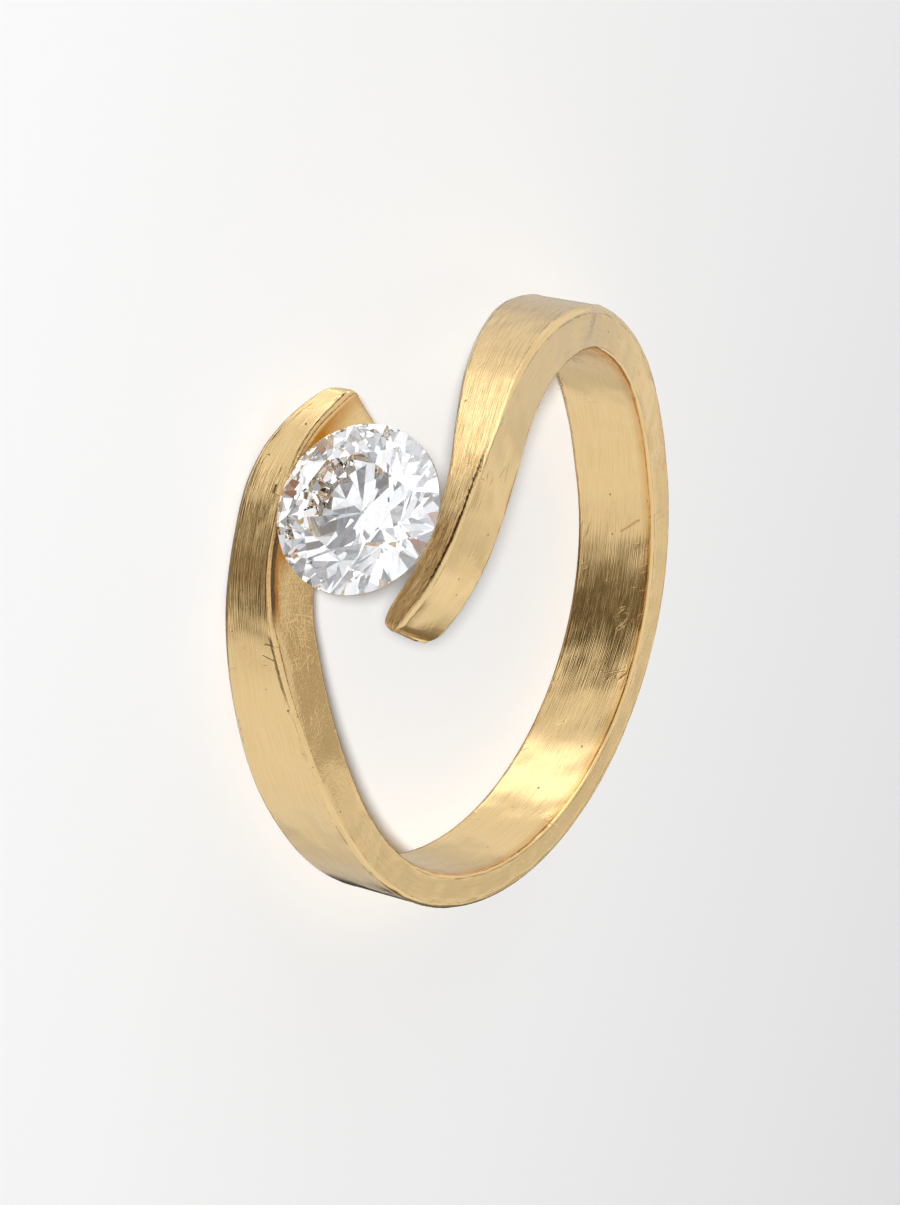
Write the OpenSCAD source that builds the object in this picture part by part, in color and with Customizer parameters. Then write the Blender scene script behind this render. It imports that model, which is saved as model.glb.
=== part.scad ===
// Wrap ring: one gold band that runs once round the finger and past itself, so that its
// two free ends lie side by side and pinch a round brilliant between them.
// Millimetres. The ring lies on the flat side of its band, on Z = 0. The finger hole runs
// along Z through the origin, and the stone faces -Y.

/* [Band] */
// Diameter of the finger hole
finger_d = 17.2; // [16:0.1:19]
// Width of the plain band, along the finger
band_w = 3; // [2.6:0.1:3.4]
// Radius along the outer edges of the band
edge_r = 0.16; // [0.1:0.02:0.2]
// Radius along the edges of the finger hole
bore_edge_r = 0.12; // [0.06:0.02:0.16]
// Radius of the corners of the free ends, seen from outside
tip_r = 0.3; // [0.1:0.02:0.36]
// Radius where the outer face and the finger hole's wall turn over a free end
end_r = 0.4; // [0.2:0.05:0.5]
// Angle by which the inner edge of the high end runs on past its outer edge
end_lean = 2; // [0:0.5:3]

/* [Stone] */
// Diameter of the stone at its girdle
stone_d = 5.2; // [4.9:0.1:5.4]
// Height of the middle of the girdle above the flat side of the band
stone_z = 4.02; // [3.9:0.02:4.1]
// Lean of the stone towards the high arm, in degrees
stone_lean = 6; // [0:1:10]
// Width of the table as a share of the diameter
table_share = 0.57; // [0.53:0.01:0.62]
// Slope of the main crown facets, in degrees
crown_angle = 34; // [32:0.5:36]
// Slope of the main pavilion facets, in degrees
pavilion_angle = 40; // [39:0.5:41.5]
// Reach of the star facets, as a share of the way from table to girdle
star_share = 0.5; // [0.45:0.01:0.6]
// Reach of the lower halves, as a share of the way from girdle to culet
lower_share = 0.77; // [0.7:0.01:0.85]
// Thickness of the girdle where it is thinnest
girdle_t = 0.08; // [0.05:0.01:0.15]
// Radius of the small flat at the bottom of the stone
culet_r = 0.06; // [0.03:0.01:0.1]

/* [Seat] */
// Depth of the groove that holds the girdle in each arm
groove = 0.1; // [0.08:0.01:0.15]
// Play between the stone and its grooves
seat_gap = 0.02; // [0.01:0.01:0.04]
// Height of the culet above the wall of the finger hole
culet_gap = 0.03; // [0.02:0.01:0.2]

/* [Hidden] */

finger_r = finger_d / 2;
stone_r = stone_d / 2;
facet_step = 360 / 16;
girdle_sides = 96;
// The rough is cut a little larger than the girdle, which is then turned round.
rough_r = stone_r / cos(facet_step / 2);
table_r = stone_r * table_share;
crown_h = (rough_r - table_r) * tan(crown_angle);
pavilion_h = (rough_r - culet_r * cos(facet_step)) * tan(pavilion_angle);
// Points of the stars above, and of the lower halves below
table_edge = table_r * cos(facet_step);
star_r = table_edge + star_share * (rough_r - table_edge);
star_rise = (rough_r - star_r * cos(facet_step)) * tan(crown_angle);
lower_r = rough_r * (1 - lower_share);
lower_drop = (rough_r - lower_r * cos(facet_step)) * tan(pavilion_angle);
// Steepness of the facets next to the girdle
upper_steep = star_rise / ((rough_r - star_r) * cos(facet_step / 2));
lower_steep = lower_drop / ((rough_r - lower_r) * cos(facet_step / 2));
// Distance of the girdle's centre from the axis of the finger hole
stone_reach = finger_r + culet_gap + (pavilion_h + girdle_t / 2) * cos(stone_lean);
// The stone lies between the top of the low arm and the underside of the high arm.
low_seat = stone_z - stone_r * cos(stone_lean) + groove;
high_seat = stone_z + stone_r * cos(stone_lean) - groove;

// Sections of the band, from the low free end round to the high free end.
// Angle is counted from the stone. Thick is measured outwards from the finger hole.
// Under and top are the heights of the two side faces.
//   angle, thick, under, top
SECTIONS = [
    [-19.4, 2.55, 1.60, low_seat + 0.76],
    [-17.4, 2.60, 1.20, low_seat + 0.64],
    [-14.5, 2.60, 0.80, low_seat + 0.42],
    [-10.5, 2.60, 0.40, low_seat + 0.15],
    [-5.5, 2.60, 0.10, low_seat],
    [0, 2.60, 0, low_seat],
    [8, 2.45, 0, low_seat],
    [18, 2.25, 0, low_seat + 0.20],
    [28, 1.95, 0, low_seat + 0.62],
    [40, 1.60, 0, low_seat + 1.05],
    [54, 1.35, 0, band_w - 0.10],
    [70, 1.15, 0, band_w],
    [120, 1.05, 0, band_w],
    [170, 0.95, 0, band_w],
    [210, 1.10, 0, band_w],
    [226, 1.20, 0, band_w + 0.05],
    [240, 1.25, 0.20, band_w + 0.25],
    [254, 1.30, 0.60, band_w + 0.60],
    [268, 1.35, 1.25, band_w + 0.98],
    [282, 1.38, 1.85, band_w + 1.45],
    [294, 1.42, 2.40, band_w + 2.05],
    [306, 1.52, 3.00, band_w + 2.58],
    [318, 1.65, high_seat - 2.70, band_w + 3.08],
    [330, 1.78, high_seat - 1.82, band_w + 3.62],
    [341.5, 1.90, high_seat - 0.88, band_w + 4.15],
    [351.5, 2.00, high_seat - 0.18, band_w + 4.43],
    [356, 2.03, high_seat - 0.05, band_w + 4.48],
    [360, 2.05, high_seat, band_w + 4.46],
    [365.5, 2.10, high_seat - 0.10, band_w + 4.32],
    [371, 2.15, high_seat - 0.46, band_w + 3.98],
    [374.7, 2.20, high_seat - 0.70, band_w + 3.60],
    [377.4, 2.20, high_seat - 0.78, band_w + 3.27]
];
ANGLE = 0;
THICK = 1;
UNDER = 2;
TOP = 3;
LAST = len(SECTIONS) - 1;
start_angle = SECTIONS[0][ANGLE];
end_angle = SECTIONS[LAST][ANGLE];

// Spacing of the cross sections that the skin of the band is drawn through, in degrees
station_step = 2.5;
station_count = round((end_angle - start_angle) / station_step);
// Facets round each free end, and round the outer and the inner edges
tip_steps = 5;
edge_steps = 3;
bore_edge_steps = 2;
// Stretch of the high arm over which its end comes to lean
lean_span = 3;

// Slope of one column between two neighbouring rows
function rise(row, column) =
    (SECTIONS[row + 1][column] - SECTIONS[row][column])
    / (SECTIONS[row + 1][ANGLE] - SECTIONS[row][ANGLE]);

// Slope through a row, kept at nought where the column levels off or turns
function slope(row, column) =
    row == 0 ? rise(0, column)
    : row == LAST ? rise(LAST - 1, column)
    : let(before = rise(row - 1, column), after = rise(row, column))
      before * after <= 0 ? 0 : 2 * before * after / (before + after);

// Row at or before an angle
function row_at(angle, row = 0) =
    row >= LAST - 1 || SECTIONS[row + 1][ANGLE] > angle ? row : row_at(angle, row + 1);

// Value of one column at any angle, on a smooth curve through the rows
function value_at(angle, column) =
    let(row = row_at(angle),
        span = SECTIONS[row + 1][ANGLE] - SECTIONS[row][ANGLE],
        s = (angle - SECTIONS[row][ANGLE]) / span)
    SECTIONS[row][column] * (1 + 2 * s) * (1 - s) ^ 2
    + slope(row, column) * span * s * (1 - s) ^ 2
    + SECTIONS[row + 1][column] * s ^ 2 * (3 - 2 * s)
    + slope(row + 1, column) * span * s ^ 2 * (s - 1);

// How far a rounded end draws in at a distance from its very end
function draw_in(distance, radius) =
    distance >= radius ? 0 : radius - sqrt(radius ^ 2 - (radius - distance) ^ 2);

// Quarter of a circle about a point, from one angle on to the next right angle
function corner(x, z, r, from, steps) =
    [for (i = [0:steps]) let(a = from + 90 * i / steps) [x + r * cos(a), z + r * sin(a)]];

// Cross section at an angle, drawn in where it lies near a free end, but never by so much
// that its rounded edges would cross
function section(angle) =
    let(full = finger_r + value_at(angle, THICK),
        distance = min(angle - start_angle, end_angle - angle) * PI / 180 * full,
        low = value_at(angle, UNDER),
        high = value_at(angle, TOP),
        side = min(draw_in(distance, tip_r), (high - low) / 2 - edge_r),
        under = low + side,
        top = high - side,
        outer = full - draw_in(distance, end_r) - edge_r,
        inner = finger_r + draw_in(distance, end_r) + bore_edge_r,
        lean = angle < 180 ? 0 : end_lean * max(0, 1 - distance / lean_span) ^ 2)
    [for (point = concat(
        corner(outer, under + edge_r, edge_r, -90, edge_steps),
        corner(outer, top - edge_r, edge_r, 0, edge_steps),
        corner(inner, top - bore_edge_r, bore_edge_r, 90, bore_edge_steps),
        corner(inner, under + bore_edge_r, bore_edge_r, 180, bore_edge_steps)))
        let(turned = angle - 90 + lean * (full - point[0]) / (full - finger_r))
        [point[0] * cos(turned), point[0] * sin(turned), point[1]]];

// Closed skin through a list of cross sections that all have the same number of points.
// Its sides are listed first, from the low end on, and the flats at the two ends last.
module skin(rings) {
    count = len(rings[0]);
    spans = len(rings) - 1;
    polyhedron(
        points = [for (ring = rings) each ring],
        faces = concat(
            [for (k = [0:spans - 1], i = [0:count - 1])
                let(j = (i + 1) % count, a = k * count, b = a + count)
                each [[a + i, b + j, b + i], [a + i, a + j, b + j]]],
            [[for (i = [0:count - 1]) spans * count + i]],
            [[for (i = [0:count - 1]) count - 1 - i]]));
}

// Angle that a rounded end takes up, and the close-set sections in it
tip_angle = max(tip_r, end_r) / (finger_r + SECTIONS[LAST][THICK]) * 180 / PI;
tip_angles = [for (i = [0:tip_steps]) tip_angle * (1 - cos(90 * i / tip_steps))];
body_angles = [for (i = [1:station_count - 1])
    start_angle + tip_angle + (end_angle - start_angle - 2 * tip_angle) * i / station_count];
stations = concat(
    [for (a = tip_angles) start_angle + a],
    body_angles,
    [for (i = [tip_steps:-1:0]) end_angle - tip_angles[i]]);

// Puts a shape drawn with its girdle on Z = 0 and its table up where the stone sits
module at_stone() {
    translate([0, -stone_reach, stone_z]) rotate([90 - stone_lean, 0, 0]) children();
}

// Space that the stone needs, a little larger than the stone
module seat_cutter() {
    r = stone_r + seat_gap;
    above = girdle_t / 2 + (rough_r - stone_r) * upper_steep + seat_gap;
    below = girdle_t / 2 + (rough_r - stone_r) * lower_steep + seat_gap;
    rotate_extrude($fn = girdle_sides)
        polygon([
            [0, -below - r * lower_steep],
            [r, -below],
            [r, above],
            [0, above + r * upper_steep]
        ]);
}

// Gold band, grooved for the stone
module band() {
    color("#d9b068")
    difference() {
        skin([for (a = stations) section(a)]);
        at_stone() seat_cutter();
    }
}

// Ring of points round the axis of the stone
function around(count, r, z, offset = 0) =
    [for (i = [0:count - 1]) let(a = offset + 360 * i / count) [r * cos(a), r * sin(a), z]];

// Round brilliant: table, stars, mains and halves above, mains and halves below, culet
module stone() {
    half_t = girdle_t / 2;
    table_z = half_t + crown_h;
    culet_z = -half_t - pavilion_h;
    points = concat(
        around(8, table_r, table_z),
        around(8, star_r, half_t + star_rise, facet_step),
        around(16, rough_r, half_t),
        around(16, rough_r, -half_t),
        around(8, lower_r, -half_t - lower_drop, facet_step),
        around(8, culet_r, culet_z, facet_step));
    star = 8;
    above = 16;
    below = 32;
    lower = 48;
    culet = 56;
    faces = concat(
        [[7, 6, 5, 4, 3, 2, 1, 0]],
        [for (i = [0:7]) let(j = (i + 1) % 8) [i, j, star + i]],
        [for (i = [0:7]) let(h = (i + 7) % 8)
            [i, star + i, above + 2 * i, star + h]],
        [for (i = [0:7]) let(j = (2 * i + 2) % 16) each [
            [star + i, above + 2 * i + 1, above + 2 * i],
            [star + i, above + j, above + 2 * i + 1]]],
        [for (i = [0:15]) let(j = (i + 1) % 16)
            [above + i, above + j, below + j, below + i]],
        [for (i = [0:7]) let(j = (2 * i + 2) % 16) each [
            [lower + i, below + 2 * i, below + 2 * i + 1],
            [lower + i, below + 2 * i + 1, below + j]]],
        [for (i = [0:7]) let(h = (i + 7) % 8)
            [lower + h, below + 2 * i, lower + i, culet + i, culet + h]],
        [[for (i = [0:7]) culet + i]]);
    color("#f4f6f8")
    at_stone() intersection() {
        polyhedron(points, faces);
        cylinder(r = stone_r, h = 2 * stone_d, center = true, $fn = girdle_sides);
    }
}

band();
stone();
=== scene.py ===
import math

import bpy
import bmesh
from mathutils import Matrix, Quaternion, Vector


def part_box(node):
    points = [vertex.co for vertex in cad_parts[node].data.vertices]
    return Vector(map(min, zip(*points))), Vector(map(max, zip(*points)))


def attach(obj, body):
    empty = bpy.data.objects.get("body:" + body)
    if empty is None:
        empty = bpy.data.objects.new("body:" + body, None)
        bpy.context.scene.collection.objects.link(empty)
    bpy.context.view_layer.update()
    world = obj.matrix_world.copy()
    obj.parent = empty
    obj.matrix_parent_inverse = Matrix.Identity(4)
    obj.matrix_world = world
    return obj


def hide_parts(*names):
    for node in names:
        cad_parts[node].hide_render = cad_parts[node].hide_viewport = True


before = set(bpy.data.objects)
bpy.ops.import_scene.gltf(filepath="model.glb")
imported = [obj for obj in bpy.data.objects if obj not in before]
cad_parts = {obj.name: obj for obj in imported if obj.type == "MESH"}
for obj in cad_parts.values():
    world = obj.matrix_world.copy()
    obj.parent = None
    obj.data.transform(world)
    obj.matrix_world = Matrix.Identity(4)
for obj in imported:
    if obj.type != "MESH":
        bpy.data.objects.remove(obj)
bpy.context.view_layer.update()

MM = 0.001


# Camera
# The ring lies on the flat side of its band. The camera looks at its front from above and is
# rolled on its own axis, so that the ring stands in the picture as it does when it is worn.
camera_azimuth = math.radians(-79.908)
camera_elevation = math.radians(33.345)
camera_roll = math.radians(102.712)
camera_distance = 112.64 * MM
camera_aim = Vector((0.08, 0.396, 0.571)) * MM
focal_length_mm = 104.56
film_height_mm = 36

bpy.context.scene.camera = bpy.data.objects.new("camera", bpy.data.cameras.new("camera"))
camera = bpy.context.scene.camera
bpy.context.scene.collection.objects.link(camera)
camera.data.lens = focal_length_mm
camera.data.sensor_width = film_height_mm
camera.data.clip_start = 2 * MM
camera.data.clip_end = 20


def towards(azimuth, elevation):
    """The direction at an azimuth and an elevation, as a vector of length one."""
    return Vector((
        math.cos(elevation) * math.cos(azimuth),
        math.cos(elevation) * math.sin(azimuth),
        math.sin(elevation)))


towards_camera = towards(camera_azimuth, camera_elevation)
level = towards_camera.to_track_quat("Z", "Y")
camera.rotation_mode = "QUATERNION"
camera.rotation_quaternion = level @ Quaternion((0, 0, 1), camera_roll)
camera.location = camera_aim + towards_camera * camera_distance


# Band
# One bar of 18 carat yellow gold, bent once round the finger and past itself, with its edges
# broken by a file. Its two free ends spring towards each other and grip the stone between them.
finger_r = 17.2 / 2
band_w = 3.0
edge_r = 0.16
hole_edge_r = 0.12
tip_r = 0.3
end_r = 0.4
end_lean = 2.0
lean_span = 3.0

stone_low, stone_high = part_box("stone")
stone_r = (stone_high.x - stone_low.x) / 2 / MM
stone_z = (stone_high.z + stone_low.z) / 2 / MM
stone_lean = 6.0
groove = 0.1
low_seat = stone_z - stone_r * math.cos(math.radians(stone_lean)) + groove
high_seat = stone_z + stone_r * math.cos(math.radians(stone_lean)) - groove

# Sections from the low free end round to the high free end, in degrees from the stone and in
# millimetres: thickness outwards from the finger hole, then the heights of the two side faces.
#   angle, thick, under, top
SECTIONS = [
    (-19.4, 2.55, 1.60, low_seat + 0.76),
    (-17.4, 2.60, 1.20, low_seat + 0.64),
    (-14.5, 2.60, 0.80, low_seat + 0.42),
    (-10.5, 2.60, 0.40, low_seat + 0.15),
    (-5.5, 2.60, 0.10, low_seat),
    (0, 2.60, 0, low_seat),
    (8, 2.45, 0, low_seat),
    (18, 2.25, 0, low_seat + 0.20),
    (28, 1.95, 0, low_seat + 0.62),
    (40, 1.60, 0, low_seat + 1.05),
    (54, 1.35, 0, band_w - 0.10),
    (70, 1.15, 0, band_w),
    (120, 1.05, 0, band_w),
    (170, 0.95, 0, band_w),
    (210, 1.10, 0, band_w),
    (226, 1.20, 0, band_w + 0.05),
    (240, 1.25, 0.20, band_w + 0.25),
    (254, 1.30, 0.60, band_w + 0.60),
    (268, 1.35, 1.25, band_w + 0.98),
    (282, 1.38, 1.85, band_w + 1.45),
    (294, 1.42, 2.40, band_w + 2.05),
    (306, 1.52, 3.00, band_w + 2.58),
    (318, 1.65, high_seat - 2.70, band_w + 3.08),
    (330, 1.78, high_seat - 1.82, band_w + 3.62),
    (341.5, 1.90, high_seat - 0.88, band_w + 4.15),
    (351.5, 2.00, high_seat - 0.18, band_w + 4.43),
    (356, 2.03, high_seat - 0.05, band_w + 4.48),
    (360, 2.05, high_seat, band_w + 4.46),
    (365.5, 2.10, high_seat - 0.10, band_w + 4.32),
    (371, 2.15, high_seat - 0.46, band_w + 3.98),
    (374.7, 2.20, high_seat - 0.70, band_w + 3.60),
    (377.4, 2.20, high_seat - 0.78, band_w + 3.27),
]
THICK, UNDER, TOP = 1, 2, 3
start_angle = SECTIONS[0][0]
end_angle = SECTIONS[-1][0]

# How the finish changes along the band, by angle: the rounding of the upper and of the lower
# outer edge as shares of the usual radius, how far the upper edge is rolled over, how strongly
# the outer face is brushed, how grainy the face beside the stone is sanded, how strongly a painted
# reflection of gold shows on that face, where a dark line of painted shade runs as if the burr had
# folded over (below nought: on the outer face), and how far from the edge that line runs, in
# millimetres.
FINISH = {
    "softness": [
        (-25, 1), (-14, 0.6), (-2, 0.35), (12, 0.5), (24, 1), (215, 1), (250, 1.45), (275, 1.6),
        (300, 1.45), (330, 1), (344, 0.5), (362, 0.4), (371, 0.85), (400, 1)],
    "lower_softness": [
        (-30, 1), (-8, 1.4), (30, 1.4), (70, 1), (215, 1), (250, 1.45), (275, 1.6), (300, 1.45),
        (335, 1), (400, 1)],
    "rolling": [(-30, 0.2), (-12, 0.8), (6, 1), (24, 0.8), (46, 0), (400, 0)],
    "brushed": [
        (-20, 0.25), (-6, 0.3), (7, 0.9), (11, 1.4), (15, 1.4), (22, 0.35), (280, 0.25), (305, 0.8),
        (352, 0.9), (360, 1.4), (400, 1.4)],
    "sanded": [(-30, 0.3), (-8, 1), (20, 1), (60, 0.4), (300, 0.3), (340, 0.1), (400, 0.1)],
    # Painted reflection of gold beside the stone, then where the dark line of painted shade runs.
    "glow": [(-26, 0.15), (-19, 0.35), (-12, 0.55), (-5, 0.95), (3, 1), (12, 0.45), (20, 0), (400, 0)],
    "folded": [
        (-10, 0), (-3, 1), (18, 1), (22, 0.1), (23, -0.8), (31, -0.7), (35, 0), (343, 0),
        (347, -0.8), (355, -1), (367, -1), (373, 0), (400, 0)],
    "furrow_at": [(-30, 0.22), (18, 0.22), (23, 0.13), (400, 0.13)],
}

station_count = 760
end_crowding = 0.9
edge_steps = 6
# Steps along each face, as shares of its width, and how much of the burr stands at each.
FACE_STEPS = [(0.012, 0.35), (0.03, 0), (0.26, 0), (0.5, 0), (0.74, 0), (0.97, 0), (0.988, 0.35)]


def rise(row, column):
    """Slope of a column between a row and the next."""
    below, above = SECTIONS[row], SECTIONS[row + 1]
    return (above[column] - below[column]) / (above[0] - below[0])


def slope(row, column):
    """Slope through a row, nought where the column levels off or turns."""
    if row == 0:
        return rise(0, column)
    if row == len(SECTIONS) - 1:
        return rise(row - 1, column)
    before, after = rise(row - 1, column), rise(row, column)
    return 0 if before * after <= 0 else 2 * before * after / (before + after)


def value_at(angle, column):
    """Value of a column at any angle, on a smooth curve through the rows."""
    row = max(k for k in range(len(SECTIONS) - 1) if k == 0 or SECTIONS[k][0] <= angle)
    span = SECTIONS[row + 1][0] - SECTIONS[row][0]
    s = (angle - SECTIONS[row][0]) / span
    return (
        SECTIONS[row][column] * (1 + 2 * s) * (1 - s) ** 2
        + slope(row, column) * span * s * (1 - s) ** 2
        + SECTIONS[row + 1][column] * s ** 2 * (3 - 2 * s)
        + slope(row + 1, column) * span * s ** 2 * (s - 1))


def step_along(angle, rows):
    """Value at an angle, straight between the rows of a table of angles and values."""
    for (from_angle, before), (to_angle, after) in zip(rows, rows[1:]):
        if angle <= to_angle:
            return before + (after - before) * max(0, angle - from_angle) / (to_angle - from_angle)
    return rows[-1][1]


def draw_in(distance, radius):
    """How far a rounded end draws in at a distance from its very end."""
    if distance >= radius:
        return 0
    return radius - math.sqrt(radius ** 2 - (radius - distance) ** 2)


def in_scene(name, data):
    """A new object of the scene that holds a mesh or a lamp."""
    thing = bpy.data.objects.new(name, data)
    bpy.context.scene.collection.objects.link(thing)
    return thing


def line_mesh(name, points, closed, columns):
    """A chain of points as a mesh, with one named value for each point and column."""
    mesh = bpy.data.meshes.new(name)
    links = [(i, i + 1) for i in range(len(points) - 1)]
    if closed:
        links.append((len(points) - 1, 0))
    mesh.from_pydata(points, links, [])
    for column, values in columns.items():
        mesh.attributes.new(column, "FLOAT", "POINT").data.foreach_set("value", values)
    return in_scene(name, mesh)


# The path: one point for each station, laid out straight, which holds the section's own sizes.
path = {name: [] for name in ("turn", "lean", "along", "inner", "outer", "low", "high", *FINISH)}
for i in range(station_count):
    u = i / (station_count - 1)
    eased = u + end_crowding * (u * u * (3 - 2 * u) - u)
    angle = start_angle + (end_angle - start_angle) * eased
    full = finger_r + value_at(angle, THICK)
    distance = math.radians(min(angle - start_angle, end_angle - angle)) * full
    under, top = value_at(angle, UNDER), value_at(angle, TOP)
    side = min(draw_in(distance, tip_r), (top - under) / 2 - edge_r)
    near_high_end = max(0, 1 - distance / lean_span) ** 2 if angle > 180 else 0
    for name, rows in FINISH.items():
        path[name].append(step_along(angle, rows))
    path["turn"].append(math.radians(angle - 90))
    path["lean"].append(math.radians(end_lean) * near_high_end)
    path["along"].append(math.radians(angle - start_angle) * (finger_r + full) / 2)
    path["inner"].append((finger_r + draw_in(distance, end_r)) * MM)
    path["outer"].append((full - draw_in(distance, end_r)) * MM)
    path["low"].append((under + side) * MM)
    path["high"].append((top - side) * MM)
path_line = line_mesh("band_path", [(a * MM, 0, 0) for a in path["along"]], False, path)

# The section: a rounded oblong of unit size. Out and up say which corner a point belongs to,
# and facing_up which way it faces there. A burr stands where an edge meets a face. The four laps
# say how the way round the section is measured: in heights and thicknesses of the bar, and in
# distances from its underside and from its outer face. The usual sides, in millimetres, lay out
# the noise of the burr.
section = {name: [] for name in (
    "out", "up", "facing_out", "facing_up", "around", "burr", "rolled", "rounding", "flank",
    "lap_height", "lap_thick", "lap_up", "lap_in")}
CORNERS = [(1, 0), (1, 1), (0, 1), (0, 0)]
EDGE_LAPS = [(-0.5, 0, 1, -1), (-0.5, 0, 1, 1), (1.5, 0, -1, 1), (1.5, 2, -1, -1)]
FACE_LAPS = [(-0.5, 0, 1, 0), (0.5, 0, 0, 1), (1.5, 1, -1, 0), (1.5, 2, 0, -1)]
usual_sides = [3.0, 1.6, 3.0, 1.6]
for corner, (out, up) in enumerate(CORNERS):
    next_out, next_up = CORNERS[(corner + 1) % 4]
    face_length = usual_sides[corner]
    arc_steps = [
        (i / edge_steps, 0, 1 if i in (0, edge_steps) else 0) for i in range(edge_steps + 1)]
    for arc, face, burr in arc_steps + [(1, share, burr) for share, burr in FACE_STEPS]:
        facing = math.radians(90) * (corner + arc - 1)
        section["out"].append(out + (next_out - out) * face)
        section["up"].append(up + (next_up - up) * face)
        section["facing_out"].append(math.cos(facing))
        section["facing_up"].append(math.sin(facing))
        section["around"].append(sum(usual_sides[:corner]) + edge_r * arc + face_length * face)
        section["burr"].append(burr)
        on_upper_face = corner == 1 and (arc == 1 or face > 0) and face < 0.5
        section["rolled"].append(burr if on_upper_face else 0)
        section["rounding"].append(1 if face == 0 else 0)
        section["flank"].append(abs(math.sin(facing)))
        laps = EDGE_LAPS[corner] if face == 0 and arc < 1 else FACE_LAPS[corner]
        for name, lap in zip(("lap_height", "lap_thick", "lap_up", "lap_in"), laps):
            section[name].append(lap)
count = len(section["out"])
circle = [
    (math.cos(2 * math.pi * i / count), math.sin(2 * math.pi * i / count), 0) for i in range(count)]
section_line = line_mesh("band_section", circle, True, section)

# The seat: the room that the stone needs between the arms, a little larger than the stone.
crown_angle = math.radians(34)
pavilion_angle = math.radians(40)
seat_gap = 0.02
girdle_t = 0.08
culet_gap = 0.03
culet_r = 0.06
facet_turn = math.radians(22.5)
rough_r = stone_r / math.cos(facet_turn / 2)
pavilion_h = (rough_r - culet_r * math.cos(facet_turn)) * math.tan(pavilion_angle)
stone_reach = finger_r + culet_gap + (pavilion_h + girdle_t / 2) * math.cos(math.radians(stone_lean))
stone_place = (
    Matrix.Translation(Vector((0, -stone_reach, stone_z)) * MM)
    @ Matrix.Rotation(math.radians(90 - stone_lean), 4, "X")
    @ Matrix.Scale(MM, 4))

seat_sides = 160
seat_r = stone_r + seat_gap
table_share = 0.57
star_share = 0.5
lower_share = 0.77
table_r = stone_r * table_share
table_edge = table_r * math.cos(facet_turn)
star_r = table_edge + star_share * (rough_r - table_edge)
star_rise = (rough_r - star_r * math.cos(facet_turn)) * math.tan(crown_angle)
lower_r = rough_r * (1 - lower_share)
lower_drop = (rough_r - lower_r * math.cos(facet_turn)) * math.tan(pavilion_angle)
upper_steep = star_rise / ((rough_r - star_r) * math.cos(facet_turn / 2))
lower_steep = lower_drop / ((rough_r - lower_r) * math.cos(facet_turn / 2))
seat_top = girdle_t / 2 + (rough_r - stone_r) * upper_steep + seat_gap
seat_foot = -girdle_t / 2 - (rough_r - stone_r) * lower_steep - seat_gap
seat = bmesh.new()
rings = []
for z in (seat_foot, seat_top):
    rings.append([
        seat.verts.new((
            seat_r * math.cos(2 * math.pi * i / seat_sides),
            seat_r * math.sin(2 * math.pi * i / seat_sides), z))
        for i in range(seat_sides)])
foot = seat.verts.new((0, 0, seat_foot - seat_r * lower_steep))
head = seat.verts.new((0, 0, seat_top + seat_r * upper_steep))
for i in range(seat_sides):
    j = (i + 1) % seat_sides
    seat.faces.new((rings[0][i], rings[0][j], rings[1][j], rings[1][i]))
    seat.faces.new((foot, rings[0][j], rings[0][i]))
    seat.faces.new((head, rings[1][i], rings[1][j]))
seat.transform(stone_place)
seat_mesh = bpy.data.meshes.new("seat")
seat.to_mesh(seat_mesh)
seat.free()
seat_form = in_scene("seat", seat_mesh)


def add(tree, kind, inputs=None, **settings):
    """Adds a node with its settings, with each input set or linked, and gives its outputs."""
    node = tree.nodes.new(kind)
    for name, value in settings.items():
        setattr(node, name, value)
    for key, value in (inputs or {}).items():
        if isinstance(value, bpy.types.NodeSocket):
            tree.links.new(value, node.inputs[key])
        else:
            node.inputs[key].default_value = value
    return node.outputs


def node_group(name, inputs, output):
    """A tree of geometry nodes with its named inputs and its output, and no nodes yet."""
    tree = bpy.data.node_groups.new(name, "GeometryNodeTree")
    for label, kind in inputs.items():
        tree.interface.new_socket(label, in_out="INPUT", socket_type="NodeSocket" + kind)
    tree.interface.new_socket(output, in_out="OUTPUT", socket_type="NodeSocketGeometry")
    return tree


def linear(hex_colour):
    """The linear colour of an sRGB hex value."""
    parts = [int(hex_colour[i:i + 2], 16) / 255 for i in (1, 3, 5)]
    return [p / 12.92 if p <= 0.04045 else ((p + 0.055) / 1.055) ** 2.4 for p in parts] + [1]


def solid_of(name, thing, tree, inputs):
    """The plain mesh that a tree of geometry nodes makes of an object, as a piece of its own."""
    modifier = thing.modifiers.new("form", "NODES")
    modifier.node_group = tree
    for item in tree.interface.items_tree:
        if item.item_type == "SOCKET" and item.in_out == "INPUT" and item.name in inputs:
            modifier[item.identifier] = inputs[item.name]
    evaluated = thing.evaluated_get(bpy.context.evaluated_depsgraph_get())
    mesh = bpy.data.meshes.new_from_object(evaluated)
    mesh.name = name
    thing.modifiers.remove(modifier)
    bpy.data.objects.remove(thing)
    return in_scene(name, mesh)


def empty_material(name):
    """A material without nodes yet, and its tree."""
    material = bpy.data.materials.new(name)
    material.use_nodes = True
    material.node_tree.nodes.clear()
    return material, material.node_tree


def face_outwards(piece):
    """Turns every face of a closed piece outwards."""
    form = bmesh.new()
    form.from_mesh(piece.data)
    bmesh.ops.recalc_face_normals(form, faces=form.faces)
    if form.calc_volume(signed=True) < 0:
        bmesh.ops.reverse_faces(form, faces=form.faces)
    form.to_mesh(piece.data)
    form.free()


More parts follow.
